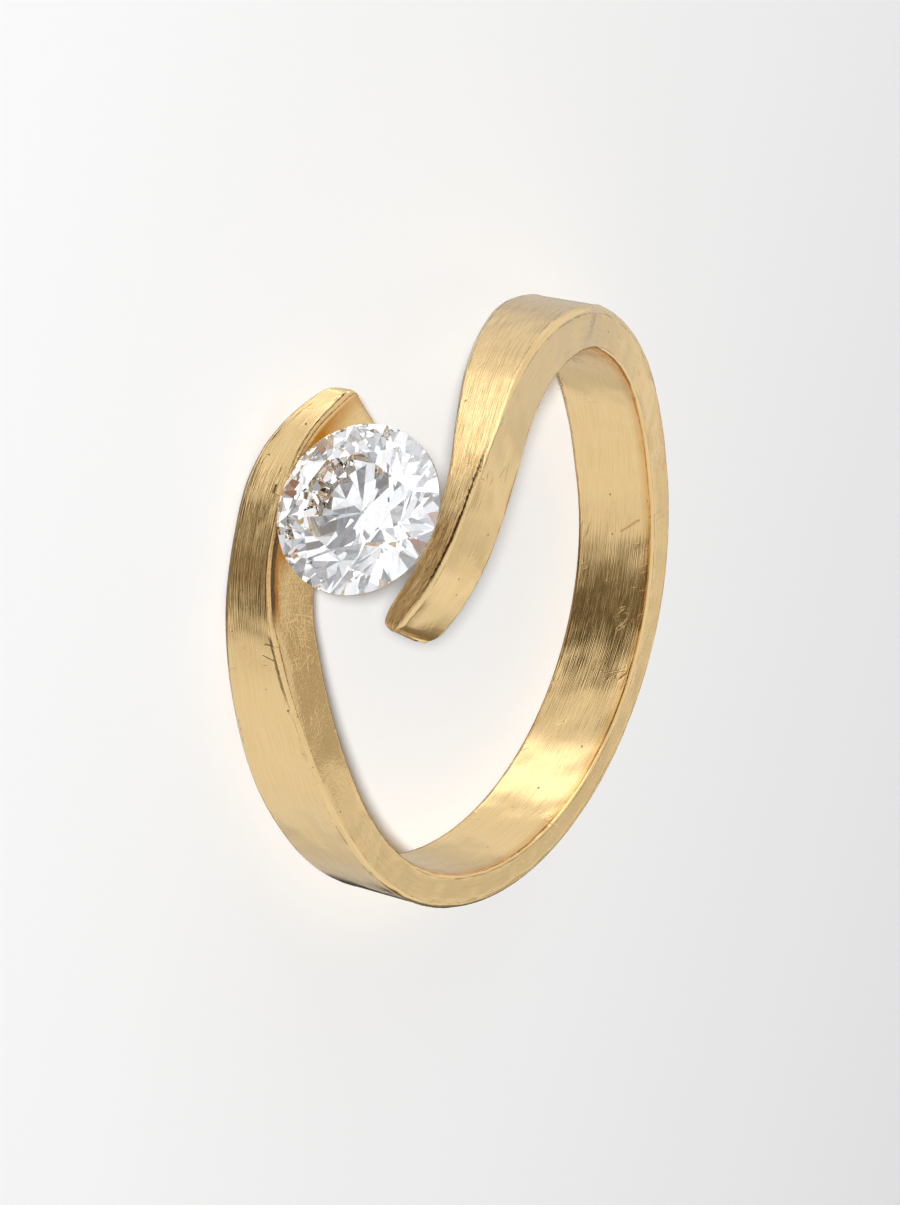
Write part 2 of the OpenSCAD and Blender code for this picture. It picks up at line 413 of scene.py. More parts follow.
# The sweep: the section is carried along the path, every point is put in its place round the
# finger, a thin uneven burr stands along the edges, and the seat is cut.
sweep = node_group("band sweep", {
    "Path": "Geometry", "Section": "Object", "Seat": "Object", "Edge Radius": "Float",
    "Hole Edge Radius": "Float", "Burr Height": "Float", "Roll Height": "Float",
    "Gold": "Material"}, "Band")
given = add(sweep, "NodeGroupInput")
along_path = add(sweep, "GeometryNodeMeshToCurve", {"Mesh": given["Path"]})
section_shape = add(sweep, "GeometryNodeObjectInfo", {"Object": given["Section"]})
section_curve = add(sweep, "GeometryNodeMeshToCurve", {"Mesh": section_shape["Geometry"]})
swept = add(sweep, "GeometryNodeCurveToMesh", {
    "Curve": along_path[0], "Profile Curve": section_curve[0], "Fill Caps": True})
stored = {}
for name in [*path, *section]:
    stored[name] = add(sweep, "GeometryNodeInputNamedAttribute", {"Name": name}, data_type="FLOAT")[0]

edge_softness = add(sweep, "ShaderNodeMix", {
    "Factor": stored["up"], "A": stored["lower_softness"], "B": stored["softness"]})[0]
outer_radius = add(sweep, "ShaderNodeMath", {
    0: given["Edge Radius"], 1: edge_softness}, operation="MULTIPLY")[0]
radius = add(sweep, "ShaderNodeMix", {
    "Factor": stored["out"], "A": given["Hole Edge Radius"], "B": outer_radius})[0]
on_skin = add(sweep, "ShaderNodeCombineXYZ", {"X": stored["along"], "Y": stored["around"]})[0]
burr_noise = add(sweep, "ShaderNodeTexNoise", {
    "Vector": on_skin, "Scale": 0.45, "Detail": 4.0, "Roughness": 0.6})[0]
burr_rise = add(sweep, "ShaderNodeMapRange", {"Value": burr_noise, "From Min": 0.42, "From Max": 0.72})[0]
burr_share = add(sweep, "ShaderNodeMath", {0: burr_rise, 1: stored["burr"]}, operation="MULTIPLY")[0]
burr = add(sweep, "ShaderNodeMath", {
    0: burr_share, 1: given["Burr Height"], 2: radius}, operation="MULTIPLY_ADD")[0]
roll_share = add(sweep, "ShaderNodeMath", {
    0: stored["rolling"], 1: stored["rolled"]}, operation="MULTIPLY")[0]
reach = add(sweep, "ShaderNodeMath", {
    0: roll_share, 1: given["Roll Height"], 2: burr}, operation="MULTIPLY_ADD")[0]

places = {}
for name, near, far, share, facing in (
        ("outwards", "inner", "outer", "out", "facing_out"),
        ("upwards", "low", "high", "up", "facing_up")):
    first = add(sweep, "ShaderNodeMath", {0: stored[near], 1: radius}, operation="ADD")[0]
    last = add(sweep, "ShaderNodeMath", {0: stored[far], 1: radius}, operation="SUBTRACT")[0]
    centre = add(sweep, "ShaderNodeMix", {"Factor": stored[share], "A": first, "B": last})[0]
    places[name] = add(sweep, "ShaderNodeMath", {
        0: stored[facing], 1: reach, 2: centre}, operation="MULTIPLY_ADD")[0]
inwards = add(sweep, "ShaderNodeMath", {0: 1.0, 1: stored["out"]}, operation="SUBTRACT")[0]
turn = add(sweep, "ShaderNodeMath", {
    0: stored["lean"], 1: inwards, 2: stored["turn"]}, operation="MULTIPLY_ADD")[0]
turn_cos = add(sweep, "ShaderNodeMath", {0: turn}, operation="COSINE")[0]
turn_sin = add(sweep, "ShaderNodeMath", {0: turn}, operation="SINE")[0]
x = add(sweep, "ShaderNodeMath", {0: places["outwards"], 1: turn_cos}, operation="MULTIPLY")[0]
y = add(sweep, "ShaderNodeMath", {0: places["outwards"], 1: turn_sin}, operation="MULTIPLY")[0]
place = add(sweep, "ShaderNodeCombineXYZ", {"X": x, "Y": y, "Z": places["upwards"]})[0]
placed = add(sweep, "GeometryNodeSetPosition", {"Geometry": swept[0], "Position": place})[0]

# The way round the section serves the brushing's map. Depth is measured from the outer face and
# drop from the upper face.
lengths = {}
for name, larger, smaller in (
        ("height", stored["high"], stored["low"]),
        ("thickness", stored["outer"], stored["inner"]),
        ("from under", places["upwards"], stored["low"]),
        ("from outside", stored["outer"], places["outwards"]),
        ("from top", stored["high"], places["upwards"])):
    lengths[name] = add(sweep, "ShaderNodeMath", {0: larger, 1: smaller}, operation="SUBTRACT")[0]
way_round = 0.0
for lap, length in (
        ("lap_height", "height"), ("lap_thick", "thickness"), ("lap_up", "from under"),
        ("lap_in", "from outside")):
    way_round = add(sweep, "ShaderNodeMath", {
        0: stored[lap], 1: lengths[length], 2: way_round}, operation="MULTIPLY_ADD")[0]
way_in_mm = add(sweep, "ShaderNodeMath", {0: way_round, 1: 1 / MM}, operation="MULTIPLY")[0]
uv = add(sweep, "ShaderNodeCombineXYZ", {"X": stored["along"], "Y": way_in_mm})[0]
sides = add(sweep, "GeometryNodeInputMeshFaceNeighbors")["Vertex Count"]
is_side = add(sweep, "FunctionNodeCompare", {2: sides, 3: 4}, data_type="INT", operation="LESS_EQUAL")[0]
measured = add(sweep, "GeometryNodeStoreNamedAttribute", {
    "Geometry": placed, "Name": "swept", "Value": is_side}, data_type="BOOLEAN", domain="FACE")[0]
for name, length in (("depth", "from outside"), ("drop", "from top")):
    length_in_mm = add(sweep, "ShaderNodeMath", {
        0: lengths[length], 1: 1 / MM}, operation="MULTIPLY")[0]
    measured = add(sweep, "GeometryNodeStoreNamedAttribute", {
        "Geometry": measured, "Name": name, "Value": length_in_mm},
        data_type="FLOAT", domain="POINT")[0]
mapped = add(sweep, "GeometryNodeStoreNamedAttribute", {
    "Geometry": measured, "Name": "brushing", "Value": uv},
    data_type="FLOAT2", domain="CORNER")[0]
seat_shape = add(sweep, "GeometryNodeObjectInfo", {"Object": given["Seat"]})
seated = add(sweep, "GeometryNodeMeshBoolean", {
    "Mesh 1": mapped, "Mesh 2": seat_shape["Geometry"]},
    operation="DIFFERENCE", solver="EXACT")[0]

# The two end faces and the walls of the seat are mapped flat, by height and by distance from
# the stone's side.
was_swept = add(sweep, "GeometryNodeInputNamedAttribute", {"Name": "swept"}, data_type="BOOLEAN")[0]
flat_face = add(sweep, "FunctionNodeBooleanMath", {0: was_swept}, operation="NOT")[0]
spot_in_mm = add(sweep, "ShaderNodeVectorMath", {
    0: add(sweep, "GeometryNodeInputPosition")[0], "Scale": 1 / MM}, operation="SCALE")[0]
spot = add(sweep, "ShaderNodeSeparateXYZ", {"Vector": spot_in_mm})
flat_uv = add(sweep, "ShaderNodeCombineXYZ", {"X": spot["Z"], "Y": spot["Y"]})[0]
flat_mapped = add(sweep, "GeometryNodeStoreNamedAttribute", {
    "Geometry": seated, "Selection": flat_face, "Name": "brushing", "Value": flat_uv},
    data_type="FLOAT2", domain="CORNER")[0]
smooth = add(sweep, "GeometryNodeSetShadeSmooth", {"Geometry": flat_mapped})[0]
plain = add(sweep, "GeometryNodeRealizeInstances", {"Geometry": smooth})[0]
gilded = add(sweep, "GeometryNodeSetMaterial", {"Geometry": plain, "Material": given["Gold"]})[0]
add(sweep, "NodeGroupOutput", {"Band": gilded})

# 18 carat yellow gold, brushed along the band and worn to a satin: a soft streaky mirror whose
# rounded edges are rubbed brighter. Lengths are in millimetres. The gold reads the kept values of
# the sweep, and the others are taken off the band.
gold, skin = empty_material("yellow_gold_18ct_satin_brushed")
KEPT = ("rounding", "flank", "out", "burr", "brushed", "sanded", "glow", "folded", "furrow_at")
on_edge, on_flank, on_outside, by_burr, brushed, sanding, by_painted_glow, folded, furrow_at, depth, drop = [
    add(skin, "ShaderNodeAttribute", attribute_name=name)["Fac"] for name in (*KEPT, "depth", "drop")]
brushing = add(skin, "ShaderNodeUVMap", uv_map="brushing")[0]
tangent = add(skin, "ShaderNodeTangent", direction_type="UV_MAP", uv_map="brushing")[0]
in_mm = add(skin, "ShaderNodeVectorMath", {
    0: add(skin, "ShaderNodeTexCoord")["Object"], "Scale": 1 / MM}, operation="SCALE")[0]

# Even noise: slow waves in the surface, the grain of sanding, and the patches where marks lie.
#   name, scale for each millimetre, detail, roughness
noise = {}
for name, scale, detail, roughness in (
        ("waves", 0.7, 1.0, 0.5),
        ("grain", 9, 2.0, 0.65),
        ("crossed patches", 0.5, 2.0, 0.5),
        ("marked patches", 0.9, 2.0, 0.5),
        ("breaks in the seam", 0.8, 4.0, 0.7)):
    noise[name] = add(skin, "ShaderNodeTexNoise", {
        "Vector": in_mm, "Scale": scale, "Detail": detail, "Roughness": roughness})[0]

# Noise drawn out into lines: the grit of the last brushing, and the fields of which scratches are
# the level lines. The fine grit lines are 0.04 mm wide, as the real ones of 0.02 mm would not show.
#   name, turn from the band's length in degrees, length, width, detail
streaks = {}
for name, turned_by, length, width, detail in (
        ("fine", 1, 1.8, 0.04, 2.0),
        ("coarse", 3, 4.0, 0.3, 2.0),
        ("crossing", -28, 1.6, 0.06, 2.0),
        ("long scratches", 8, 3.0, 0.8, 1.0),
        ("cross scratches", 62, 1.6, 0.5, 1.0)):
    turned_map = add(skin, "ShaderNodeMapping", {
        "Vector": brushing, "Rotation": (0, 0, math.radians(turned_by))})[0]
    drawn_out = add(skin, "ShaderNodeVectorMath", {
        0: turned_map, 1: (1 / length, 1 / width, 1)}, operation="MULTIPLY")[0]
    streaks[name] = add(skin, "ShaderNodeTexNoise", {
        "Vector": drawn_out, "Scale": 1.0, "Detail": detail, "Roughness": 0.6})[0]

# How much there is of each thing at a place, by one value of that place. Below and above its
# range the share stays as at the ends.
#   name, value, from, to, share at the first, share at the second
shares = {}
for name, value, low, high, share_at_low, share_at_high in (
        ("roughness", on_edge, 0, 1, 0.16, 0.09),
        ("fine lines", streaks["fine"], 0.3, 0.7, 0, 1),
        ("crossed", noise["crossed patches"], 0.5, 0.65, 0, 1),
        ("brushed face", on_flank, 0, 1, 1, 0.12),
        ("swirled arm", sanding, 0.8, 1, 0, 1),
        ("swirled patches", noise["marked patches"], 0.4, 0.55, 0, 1),
        ("deep brushing", brushed, 0.4, 1.4, 0, 1),
        ("off the flank", on_flank, 0, 0.5, 1, 0),
        ("side face", on_flank, 0.4, 0.6, 0, 1),
        ("round wall", on_flank, 0.3, 0.7, 1, 0),
        ("inside", on_outside, 0, 0.3, 1, 0),
        ("under the top", drop, 0.1, 0.45, 0.6, 0),
        ("beside the furrow", depth, 0.42, 0.6, 1, 0),
        ("past the ridge", depth, 0.22, 0.3, 0.2, 1),
        ("folded", folded, 0.1, 1, 0, 1),
        ("glowing", by_painted_glow, 0, 0.6, 0, 1),
        ("folded seam", folded, 0.1, 1, 0, 0.8),
        ("rolled edge", drop, 0.2, 0.3, 1, 0),
        ("broken seam", noise["breaks in the seam"], 0.48, 0.58, 0, 0.45),
        ("at the burr", by_burr, 0.2, 0.7, 0, 1)):
    shares[name] = add(skin, "ShaderNodeMapRange", {
        "Value": value, "From Min": low, "From Max": high,
        "To Min": share_at_low, "To Max": share_at_high})[0]

# Brushing is strong on the outer face, weaker in the hole and weakest on the side faces, and the
# side face beside the stone is sanded.
hole_brushing = 0.32
outside_share = add(skin, "ShaderNodeMix", {"Factor": on_outside, "A": hole_brushing, "B": brushed})[0]
brush_share = add(skin, "ShaderNodeMath", {
    0: shares["brushed face"], 1: outside_share}, operation="MULTIPLY")[0]
crossing_share = add(skin, "ShaderNodeMath", {
    0: shares["crossed"], 1: brush_share}, operation="MULTIPLY")[0]
sanded = add(skin, "ShaderNodeMath", {0: on_flank, 1: sanding}, operation="MULTIPLY")[0]
sanded_grain = add(skin, "ShaderNodeMath", {0: noise["grain"], 1: sanded}, operation="MULTIPLY")[0]
brushed_lines = {}
for name, lines, share in (
        ("coarse", streaks["coarse"], brush_share),
        ("fine", shares["fine lines"], brush_share),
        ("crossing", streaks["crossing"], crossing_share)):
    brushed_lines[name] = add(skin, "ShaderNodeMath", {0: lines, 1: share}, operation="MULTIPLY")[0]

# Scratches lie on a share of the surface.
scratches = {}
scratch_reach = 0.02
patch_border = 0.1
for name, surface_share in (("long scratches", 0.45), ("cross scratches", 0.42)):
    above_level = add(skin, "ShaderNodeMath", {0: streaks[name], 1: 0.5}, operation="SUBTRACT")[0]
    off_level = add(skin, "ShaderNodeMath", {0: above_level}, operation="ABSOLUTE")[0]
    line = add(skin, "ShaderNodeMapRange", {
        "Value": off_level, "From Max": scratch_reach, "To Min": 1, "To Max": 0})[0]
    there = add(skin, "ShaderNodeMapRange", {
        "Value": noise["marked patches"], "From Min": 1 - surface_share,
        "From Max": 1 + patch_border - surface_share})[0]
    scratches[name] = add(skin, "ShaderNodeMath", {0: line, 1: there}, operation="MULTIPLY")[0]

# The sanding pad has left curved swirls round a place on the face beside the stone.
swirl_centre = (5.3, -8.3, 5.0)
swirls_per_mm = 14
from_swirl = add(skin, "ShaderNodeVectorMath", {
    0: in_mm, 1: swirl_centre}, operation="DISTANCE")["Value"]
swirl_turns = add(skin, "ShaderNodeMath", {0: from_swirl, 1: swirls_per_mm}, operation="MULTIPLY")[0]
swirl_noise = add(skin, "ShaderNodeTexNoise", {
    "Vector": add(skin, "ShaderNodeCombineXYZ", {"X": swirl_turns, "Y": noise["waves"]})[0],
    "Scale": 1.0, "Detail": 2.0, "Roughness": 0.5})[0]
swirl_lines = add(skin, "ShaderNodeMapRange", {
    "Value": swirl_noise, "From Min": 0.35, "From Max": 0.65})[0]
swirl_share = shares["swirled arm"]
for share in (shares["swirled patches"], on_flank):
    swirl_share = add(skin, "ShaderNodeMath", {0: swirl_share, 1: share}, operation="MULTIPLY")[0]
swirls = add(skin, "ShaderNodeMath", {0: swirl_lines, 1: swirl_share}, operation="MULTIPLY")[0]

pits_per_mm = 1.3
pit_cells = add(skin, "ShaderNodeTexVoronoi", {"Vector": in_mm, "Scale": pits_per_mm})["Distance"]
pits = add(skin, "ShaderNodeMapRange", {
    "Value": pit_cells, "From Min": 0.02, "From Max": 0.06, "To Min": 1, "To Max": 0})[0]

# Painted reflection: between the rolled edge and the stone the gold is coloured a deeper orange, as
# if it mirrored itself, in a wide glow beside the stone and in a narrow strip beside the painted
# furrow. Along the polished edges of the hole a paler orange paints the same reflection.
painted_glow_width = 2.4
painted_glow_fade = 0.9
hole_edge_reflection_strength = 0.6
past_painted_glow = add(skin, "ShaderNodeMath", {
    0: by_painted_glow, 1: -painted_glow_width, 2: depth}, operation="MULTIPLY_ADD")[0]
in_painted_glow = add(skin, "ShaderNodeMapRange", {"Value": past_painted_glow, "From Max": -painted_glow_fade})[0]
painted_glow_there = add(skin, "ShaderNodeMath", {0: in_painted_glow, 1: shares["glowing"]}, operation="MULTIPLY")[0]
painted_strip_there = add(skin, "ShaderNodeMath", {
    0: shares["beside the furrow"], 1: shares["folded"]}, operation="MULTIPLY")[0]
painted_gold_reflection = add(skin, "ShaderNodeMath", {0: painted_glow_there, 1: painted_strip_there}, operation="MAXIMUM")[0]
for share in (shares["past the ridge"], on_flank):
    painted_gold_reflection = add(skin, "ShaderNodeMath", {0: painted_gold_reflection, 1: share}, operation="MULTIPLY")[0]
# The painted reflection of gold along the edges of the hole.
inner_edge_reflection = on_edge
for share in (shares["inside"], hole_edge_reflection_strength):
    inner_edge_reflection = add(skin, "ShaderNodeMath", {0: inner_edge_reflection, 1: share}, operation="MULTIPLY")[0]
inner_strip_reflection = add(skin, "ShaderNodeMath", {
    0: shares["inside"], 1: shares["under the top"]}, operation="MULTIPLY")[0]
inner_painted_reflection = add(skin, "ShaderNodeMath", {0: inner_edge_reflection, 1: inner_strip_reflection}, operation="MAXIMUM")[0]
painted_hole_edge_reflection = add(skin, "ShaderNodeMath", {
    0: inner_painted_reflection, 1: shares["round wall"]}, operation="MULTIPLY")[0]

# The gold is paler where it is rubbed. Between the grit lines it is darker, most of all where
# it is brushed deeply, and so it is in the grain of the sanded face.
streaked = add(skin, "ShaderNodeMath", {
    0: shares["deep brushing"], 1: shares["off the flank"]}, operation="MULTIPLY")[0]
tone_between_lines = add(skin, "ShaderNodeMapRange", {
    "Value": streaked, "To Min": 0.75, "To Max": 0.1})[0]
tone_on_lines = add(skin, "ShaderNodeMapRange", {
    "Value": streaked, "From Min": 0.8, "To Min": 1, "To Max": 0.62})[0]
line_tone = add(skin, "ShaderNodeMapRange", {
    "Value": shares["fine lines"], "From Min": 0.1, "From Max": 0.6,
    "To Min": tone_between_lines, "To Max": tone_on_lines})[0]
grain_tone = add(skin, "ShaderNodeMapRange", {
    "Value": sanded_grain, "From Min": 0.2, "From Max": 0.7, "To Min": 1, "To Max": 0.55})[0]
tone = add(skin, "ShaderNodeMath", {0: line_tone, 1: grain_tone}, operation="MULTIPLY")[0]

# Painted shade: where the file's burr would have folded over, a dark furrow with frayed borders is
# painted beside the edge, on the side face where the fold is above nought and on the outer face
# where it is below, and a thin seam of painted shade along the rolled edge. Elsewhere a broken
# thin seam of painted shade lies along the burr.
fray = 0.16
painted_furrow_core = 0.025
painted_furrow_reach = 0.055
side_narrowing = 0.42
from_edge = add(skin, "ShaderNodeMix", {"Factor": shares["side face"], "A": drop, "B": depth})[0]
fraying = add(skin, "ShaderNodeMath", {0: streaks["crossing"], 1: 0.5}, operation="SUBTRACT")[0]
frayed = add(skin, "ShaderNodeMath", {0: fraying, 1: fray, 2: from_edge}, operation="MULTIPLY_ADD")[0]
from_painted_furrow = add(skin, "ShaderNodeMath", {0: frayed, 1: furrow_at}, operation="SUBTRACT")[0]
off_painted_furrow = add(skin, "ShaderNodeMath", {0: from_painted_furrow}, operation="ABSOLUTE")[0]
narrowing = add(skin, "ShaderNodeMapRange", {
    "Value": shares["side face"], "To Min": 1, "To Max": side_narrowing})[0]
off_border = add(skin, "ShaderNodeMath", {0: off_painted_furrow, 1: narrowing}, operation="MULTIPLY")[0]
painted_furrow_line = add(skin, "ShaderNodeMapRange", {
    "Value": off_border, "From Min": painted_furrow_core, "From Max": painted_furrow_reach, "To Min": 1, "To Max": 0})[0]
off_side = add(skin, "ShaderNodeMath", {0: shares["side face"], 1: -1.0})[0]
painted_folds = []
for share in (shares["side face"], off_side):
    painted_folds.append(add(skin, "ShaderNodeMath", {0: folded, 1: share}, operation="MULTIPLY")[0])
either_painted_fold = add(skin, "ShaderNodeMath", {0: painted_folds[0], 1: painted_folds[1]}, operation="MAXIMUM")[0]
outer_painted_fold = add(skin, "ShaderNodeMath", {0: either_painted_fold, 1: on_outside}, operation="MULTIPLY")[0]
painted_furrow_share = add(skin, "ShaderNodeMapRange", {
    "Value": outer_painted_fold, "From Min": 0.1, "To Max": 0.95})[0]
# The dark furrow line of painted shade.
painted_furrow_shade = add(skin, "ShaderNodeMath", {0: painted_furrow_line, 1: painted_furrow_share}, operation="MULTIPLY")[0]
rolled_painted_seam = shares["folded seam"]
for share in (on_outside, shares["rolled edge"]):
    rolled_painted_seam = add(skin, "ShaderNodeMath", {0: rolled_painted_seam, 1: share}, operation="MULTIPLY")[0]
painted_seam_share = add(skin, "ShaderNodeMath", {
    0: shares["broken seam"], 1: rolled_painted_seam}, operation="MAXIMUM")[0]
thin_painted_seam = add(skin, "ShaderNodeMath", {
    0: shares["at the burr"], 1: painted_seam_share}, operation="MULTIPLY")[0]
# All the dark lines of painted shade together.
painted_seam_shade = add(skin, "ShaderNodeMath", {0: thin_painted_seam, 1: painted_furrow_shade}, operation="MAXIMUM")[0]

# Curls, nicks and scratches from wear, each a short ridge or groove between two points.
#   from x, y, z, to x, y, z, half width, height
NICKS = [
    (5.93, -8.46, 2.27, 6.02, -8.26, 2.45, 0.07, 0.035),
    (4.34, -9.75, 1.64, 4.34, -9.67, 1.96, 0.06, 0.03),
    (3.38, -9.19, 1.81, 3.2, -8.88, 1.79, 0.05, 0.028),
    (-1.68, -10.46, 7.26, -1.73, -10.2, 7.41, 0.06, 0.03),
    (-4.8, 7.13, 1.75, -5.23, 6.83, 2.48, 0.035, -0.018),
    (4.61, -9.56, 1.5, 4.69, -9.51, 1.88, 0.035, -0.012),
]
knocks = 0.0
for *ends, half_width, height in NICKS:
    first_point, last_point = Vector(ends[:3]), Vector(ends[3:])
    run = last_point - first_point
    offset = add(skin, "ShaderNodeVectorMath", {0: in_mm, 1: first_point}, operation="SUBTRACT")[0]
    run_share = add(skin, "ShaderNodeVectorMath", {
        0: offset, 1: run / run.length_squared}, operation="DOT_PRODUCT")["Value"]
    way_back = add(skin, "ShaderNodeMapRange", {"Value": run_share, "To Min": 0, "To Max": -1})[0]
    back = add(skin, "ShaderNodeVectorMath", {0: run, "Scale": way_back}, operation="SCALE")[0]
    off_run = add(skin, "ShaderNodeVectorMath", {0: offset, 1: back})[0]
    off_line = add(skin, "ShaderNodeVectorMath", {0: off_run}, operation="LENGTH")["Value"]
    knock = add(skin, "ShaderNodeMapRange", {
        "Value": off_line, "From Max": half_width, "To Min": height, "To Max": 0})[0]
    knocks = add(skin, "ShaderNodeMath", {0: knock, 1: knocks}, operation="ADD")[0]

# The colours of the gold, laid over each other from the plain metal up to the marks: the painted
# reflections of gold along the hole and beside the stone, the painted shade of the furrow and
# seams, and the dirt in the pits.
worn_tint = add(skin, "ShaderNodeMix", {
    "Factor": streaked, "A": linear("#E0B066"), "B": linear("#B08244")}, data_type="RGBA")[2]
tint = add(skin, "ShaderNodeMix", {
    "Factor": tone, "A": worn_tint, "B": linear("#FADAA0")}, data_type="RGBA")[2]
pit_dirt = 0.6
pit_share = add(skin, "ShaderNodeMath", {0: pits, 1: pit_dirt}, operation="MULTIPLY")[0]
for cover, colour in (
        (painted_hole_edge_reflection, "#E0A04A"), (painted_gold_reflection, "#C6801C"), (painted_seam_shade, "#341E08"), (pit_share, "#8A5F2E")):
    tint = add(skin, "ShaderNodeMix", {
        "Factor": cover, "A": tint, "B": linear(colour)}, data_type="RGBA")[2]

# How far each pattern stands up from the surface, in millimetres. The nicks have their own.
wave_height = 0.09
normal = add(skin, "ShaderNodeBump", {
    "Strength": 1.0, "Distance": wave_height * MM, "Height": noise["waves"]})[0]
for pattern, stands_up in (
        (brushed_lines["coarse"], 0.007),
        (brushed_lines["fine"], 0.011),
        (brushed_lines["crossing"], 0.014),
        (sanded_grain, 0.018),
        (swirls, 0.012),
        (scratches["long scratches"], -0.006),
        (scratches["cross scratches"], -0.005),
        (pits, -0.02),
        (knocks, 1.0)):
    normal = add(skin, "ShaderNodeBump", {
        "Strength": 1.0, "Distance": stands_up * MM, "Height": pattern, "Normal": normal})[0]
metal = add(skin, "ShaderNodeBsdfPrincipled", {
    "Base Color": tint, "Metallic": 1.0, "Roughness": shares["roughness"], "Anisotropic": 0.6,
    "Tangent": tangent, "Normal": normal})[0]
add(skin, "ShaderNodeOutputMaterial", {"Surface": metal})

burr_height = 0.025
roll_height = 0.05
band = solid_of("band_of_gold", path_line, sweep, {
    "Section": section_line, "Seat": seat_form, "Edge Radius": edge_r * MM,
    "Hole Edge Radius": hole_edge_r * MM, "Burr Height": burr_height * MM,
    "Roll Height": roll_height * MM, "Gold": gold})
for name in set(stored) - set(KEPT):
    band.data.attributes.remove(band.data.attributes[name])
bpy.data.objects.remove(section_line)
bpy.data.objects.remove(seat_form)
face_outwards(band)
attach(band, "root")
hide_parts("band")


# Stone
# A round brilliant of half a carat, cut and polished in flat facets, with a bruted girdle.
# The grooves of the two arms hold it by the girdle alone.
half_t = girdle_t / 2
table_z = half_t + (rough_r - table_r) * math.tan(crown_angle)
star_z = half_t + star_rise
lower_z = -half_t - lower_drop
culet_z = -half_t - pavilion_h
girdle_sides = 240


def on_ring(from_axis, z, turns):
    """A point at a number of sixteenths of a turn round the stone."""
    return (from_axis * math.cos(turns * facet_turn), from_axis * math.sin(turns * facet_turn), z)


# One eighth of the stone: the facets between two corners of the table.
wedge_points = {
    "table_centre": (0, 0, table_z),
    "table_0": on_ring(table_r, table_z, 0), "table_2": on_ring(table_r, table_z, 2),
    "star": on_ring(star_r, star_z, 1),
    "upper_0": on_ring(rough_r, half_t, 0), "upper_1": on_ring(rough_r, half_t, 1),
    "upper_2": on_ring(rough_r, half_t, 2),
    "under_0": on_ring(rough_r, -half_t, 0), "under_1": on_ring(rough_r, -half_t, 1),
    "under_2": on_ring(rough_r, -half_t, 2),
    "lower": on_ring(lower_r, lower_z, 1),
    "culet_0": on_ring(culet_r * math.cos(facet_turn), culet_z, 0),
    "culet_1": on_ring(culet_r, culet_z, 1),
    "culet_2": on_ring(culet_r * math.cos(facet_turn), culet_z, 2),
    "culet_centre": (0, 0, culet_z),
}
wedge_facets = [
    ("table_centre", "table_0", "table_2"),
    ("table_0", "star", "table_2"),
    ("table_0", "upper_0", "star"),
    ("table_2", "star", "upper_2"),
    ("star", "upper_0", "upper_1"),
    ("star", "upper_1", "upper_2"),
    ("upper_0", "under_0", "under_1", "upper_1"),
    ("upper_1", "under_1", "under_2", "upper_2"),
    ("lower", "under_1", "under_0"),
    ("lower", "under_2", "under_1"),
    ("under_0", "culet_0", "culet_1", "lower"),
    ("under_2", "lower", "culet_1", "culet_2"),
    ("culet_centre", "culet_2", "culet_1", "culet_0"),
]
names = list(wedge_points)
wedge_mesh = bpy.data.meshes.new("wedge")
wedge_mesh.from_pydata(
    list(wedge_points.values()), [], [[names.index(n) for n in facet] for facet in wedge_facets])
wedge = in_scene("wedge", wedge_mesh)

cutting = node_group("brilliant cut", {
    "Wedge": "Geometry", "Wedges": "Int", "Girdle Radius": "Float", "Girdle Sides": "Int",
    "Facets": "Material", "Girdle": "Material"}, "Stone")
given = add(cutting, "NodeGroupInput")
spokes = add(cutting, "GeometryNodeMeshLine", {"Count": given["Wedges"], "Offset": (0, 0, 0)})[0]
number = add(cutting, "GeometryNodeInputIndex")[0]
turn_share = add(cutting, "ShaderNodeMath", {0: number, 1: given["Wedges"]}, operation="DIVIDE")[0]
round_turn = add(cutting, "ShaderNodeMath", {0: turn_share, 1: 2 * math.pi}, operation="MULTIPLY")[0]
spin = add(cutting, "ShaderNodeCombineXYZ", {"Z": round_turn})[0]
wedges = add(cutting, "GeometryNodeInstanceOnPoints", {
    "Points": spokes, "Instance": given["Wedge"], "Rotation": spin})[0]
realized = add(cutting, "GeometryNodeRealizeInstances", {"Geometry": wedges})[0]
merge_reach = 0.0005
closed = add(cutting, "GeometryNodeMergeByDistance", {"Geometry": realized, "Distance": merge_reach})[0]
lathe_length = 8.0
lathe = add(cutting, "GeometryNodeMeshCylinder", {
    "Vertices": given["Girdle Sides"], "Radius": given["Girdle Radius"], "Depth": lathe_length})[0]

# The lathe turns the girdle round. Both forms go into the one input of the boolean.
turned = add(cutting, "GeometryNodeMeshBoolean", {
    "Mesh 2": closed}, operation="INTERSECT", solver="EXACT")
cutting.links.new(lathe, turned[0].node.inputs["Mesh 2"])
upright_below = 0.2
faceted = add(cutting, "GeometryNodeSetMaterial", {
    "Geometry": turned[0], "Material": given["Facets"]})[0]
facing = add(cutting, "ShaderNodeSeparateXYZ", {"Vector": add(cutting, "GeometryNodeInputNormal")[0]})
flatness = add(cutting, "ShaderNodeMath", {0: facing["Z"]}, operation="ABSOLUTE")[0]
upright = add(cutting, "ShaderNodeMath", {0: flatness, 1: upright_below}, operation="LESS_THAN")[0]
bruted = add(cutting, "GeometryNodeSetMaterial", {
    "Geometry": faceted, "Selection": upright, "Material": given["Girdle"]})[0]
add(cutting, "NodeGroupOutput", {"Stone": bruted})

